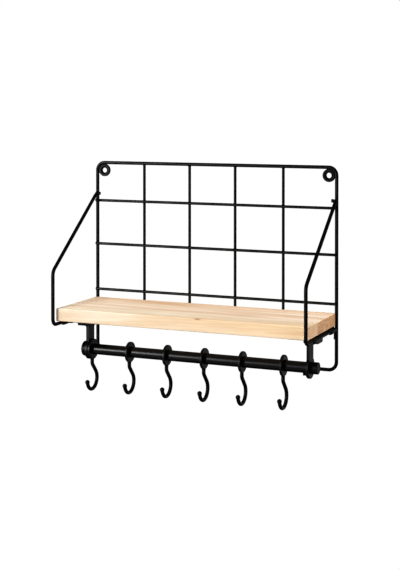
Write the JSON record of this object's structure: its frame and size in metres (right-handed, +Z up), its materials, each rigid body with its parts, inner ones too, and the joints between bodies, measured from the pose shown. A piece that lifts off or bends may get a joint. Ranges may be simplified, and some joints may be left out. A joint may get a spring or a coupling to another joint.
{
  "type": "wall shelf with hooks",
  "caption": "Wall shelf: a pine board in a black welded wire frame with a grid back and side braces, over a round rail that carries sliding, swinging hooks.",
  "frame": {"origin": "on the wall plane, midway between the two screw eyelets", "axes": "+X to the right seen from the front, +Y into the wall, +Z up; the wall is Y = 0"},
  "size_m": [0.4082, 0.1489, 0.3516],
  "materials": {
    "black_coat": "satin",
    "pine": "matte",
    "black_zinc": "satin"
  },
  "bodies": {
    "shelf": {"back_frame": "black_coat", "grid_upright_1": "black_coat", "grid_upright_2": "black_coat", "grid_upright_3": "black_coat", "grid_upright_4": "black_coat", "grid_crosswire_1": "black_coat", "grid_crosswire_2": "black_coat", "grid_crosswire_3": "black_coat", "eyelet_left": "black_coat", "eyelet_right": "black_coat", "brace_left": "black_coat", "brace_right": "black_coat", "clip_front_left": "black_coat", "clip_front_right": "black_coat", "clip_rear_left": "black_coat", "clip_rear_right": "black_coat", "seat_plate_left": "black_coat", "seat_plate_right": "black_coat", "board_screws": "black_zinc", "bracket_screws": "black_zinc", "board_front_stave": "pine", "board_rear_stave": "pine", "rail_bracket_left": "black_coat", "rail_bracket_right": "black_coat", "rail": "black_coat", "rail_cap_left": "black_coat", "rail_cap_right": "black_coat", "rail_stop_screw": "black_zinc"},
    "hook_ring_1": {"hook_ring_1": "black_coat"},
    "hook_arm_1": {"hook_arm_1": "black_coat"},
    "hook_ring_2": {"hook_ring_2": "black_coat"},
    "hook_arm_2": {"hook_arm_2": "black_coat"},
    "hook_ring_3": {"hook_ring_3": "black_coat"},
    "hook_arm_3": {"hook_arm_3": "black_coat"},
    "hook_ring_4": {"hook_ring_4": "black_coat"},
    "hook_arm_4": {"hook_arm_4": "black_coat"},
    "hook_ring_5": {"hook_ring_5": "black_coat"},
    "hook_arm_5": {"hook_arm_5": "black_coat"},
    "hook_ring_6": {"hook_ring_6": "black_coat"},
    "hook_arm_6": {"hook_arm_6": "black_coat"}
  },
  "joints": [
    {"name": "hook_1_slide", "type": "slide", "parent": "shelf", "child": "hook_ring_1", "axis": [1, 0, 0], "range_m": [0, 0.026]},
    {"name": "hook_1_swing", "type": "hinge", "parent": "hook_ring_1", "child": "hook_arm_1", "pos_m": [-0.17065, -0.07295, -0.2727], "axis": [1, 0, 0], "range_deg": [-125, 125]},
    {"name": "hook_2_slide", "type": "slide", "parent": "shelf", "child": "hook_ring_2", "axis": [1, 0, 0], "range_m": [-0.026, 0.026]},
    {"name": "hook_2_swing", "type": "hinge", "parent": "hook_ring_2", "child": "hook_arm_2", "pos_m": [-0.10667, -0.07295, -0.2727], "axis": [1, 0, 0], "range_deg": [-125, 125]},
    {"name": "hook_3_slide", "type": "slide", "parent": "shelf", "child": "hook_ring_3", "axis": [1, 0, 0], "range_m": [-0.026, 0.026]},
    {"name": "hook_3_swing", "type": "hinge", "parent": "hook_ring_3", "child": "hook_arm_3", "pos_m": [-0.04425, -0.07295, -0.2727], "axis": [1, 0, 0], "range_deg": [-125, 125]},
    {"name": "hook_4_slide", "type": "slide", "parent": "shelf", "child": "hook_ring_4", "axis": [1, 0, 0], "range_m": [-0.026, 0.026]},
    {"name": "hook_4_swing", "type": "hinge", "parent": "hook_ring_4", "child": "hook_arm_4", "pos_m": [0.01661, -0.07295, -0.2727], "axis": [1, 0, 0], "range_deg": [-125, 125]},
    {"name": "hook_5_slide", "type": "slide", "parent": "shelf", "child": "hook_ring_5", "axis": [1, 0, 0], "range_m": [-0.026, 0.026]},
    {"name": "hook_5_swing", "type": "hinge", "parent": "hook_ring_5", "child": "hook_arm_5", "pos_m": [0.07747, -0.07295, -0.2727], "axis": [1, 0, 0], "range_deg": [-125, 125]},
    {"name": "hook_6_slide", "type": "slide", "parent": "shelf", "child": "hook_ring_6", "axis": [1, 0, 0], "range_m": [-0.026, 0.026]},
    {"name": "hook_6_swing", "type": "hinge", "parent": "hook_ring_6", "child": "hook_arm_6", "pos_m": [0.14145, -0.07295, -0.2727], "axis": [1, 0, 0], "range_deg": [-125, 125]}
  ]
}
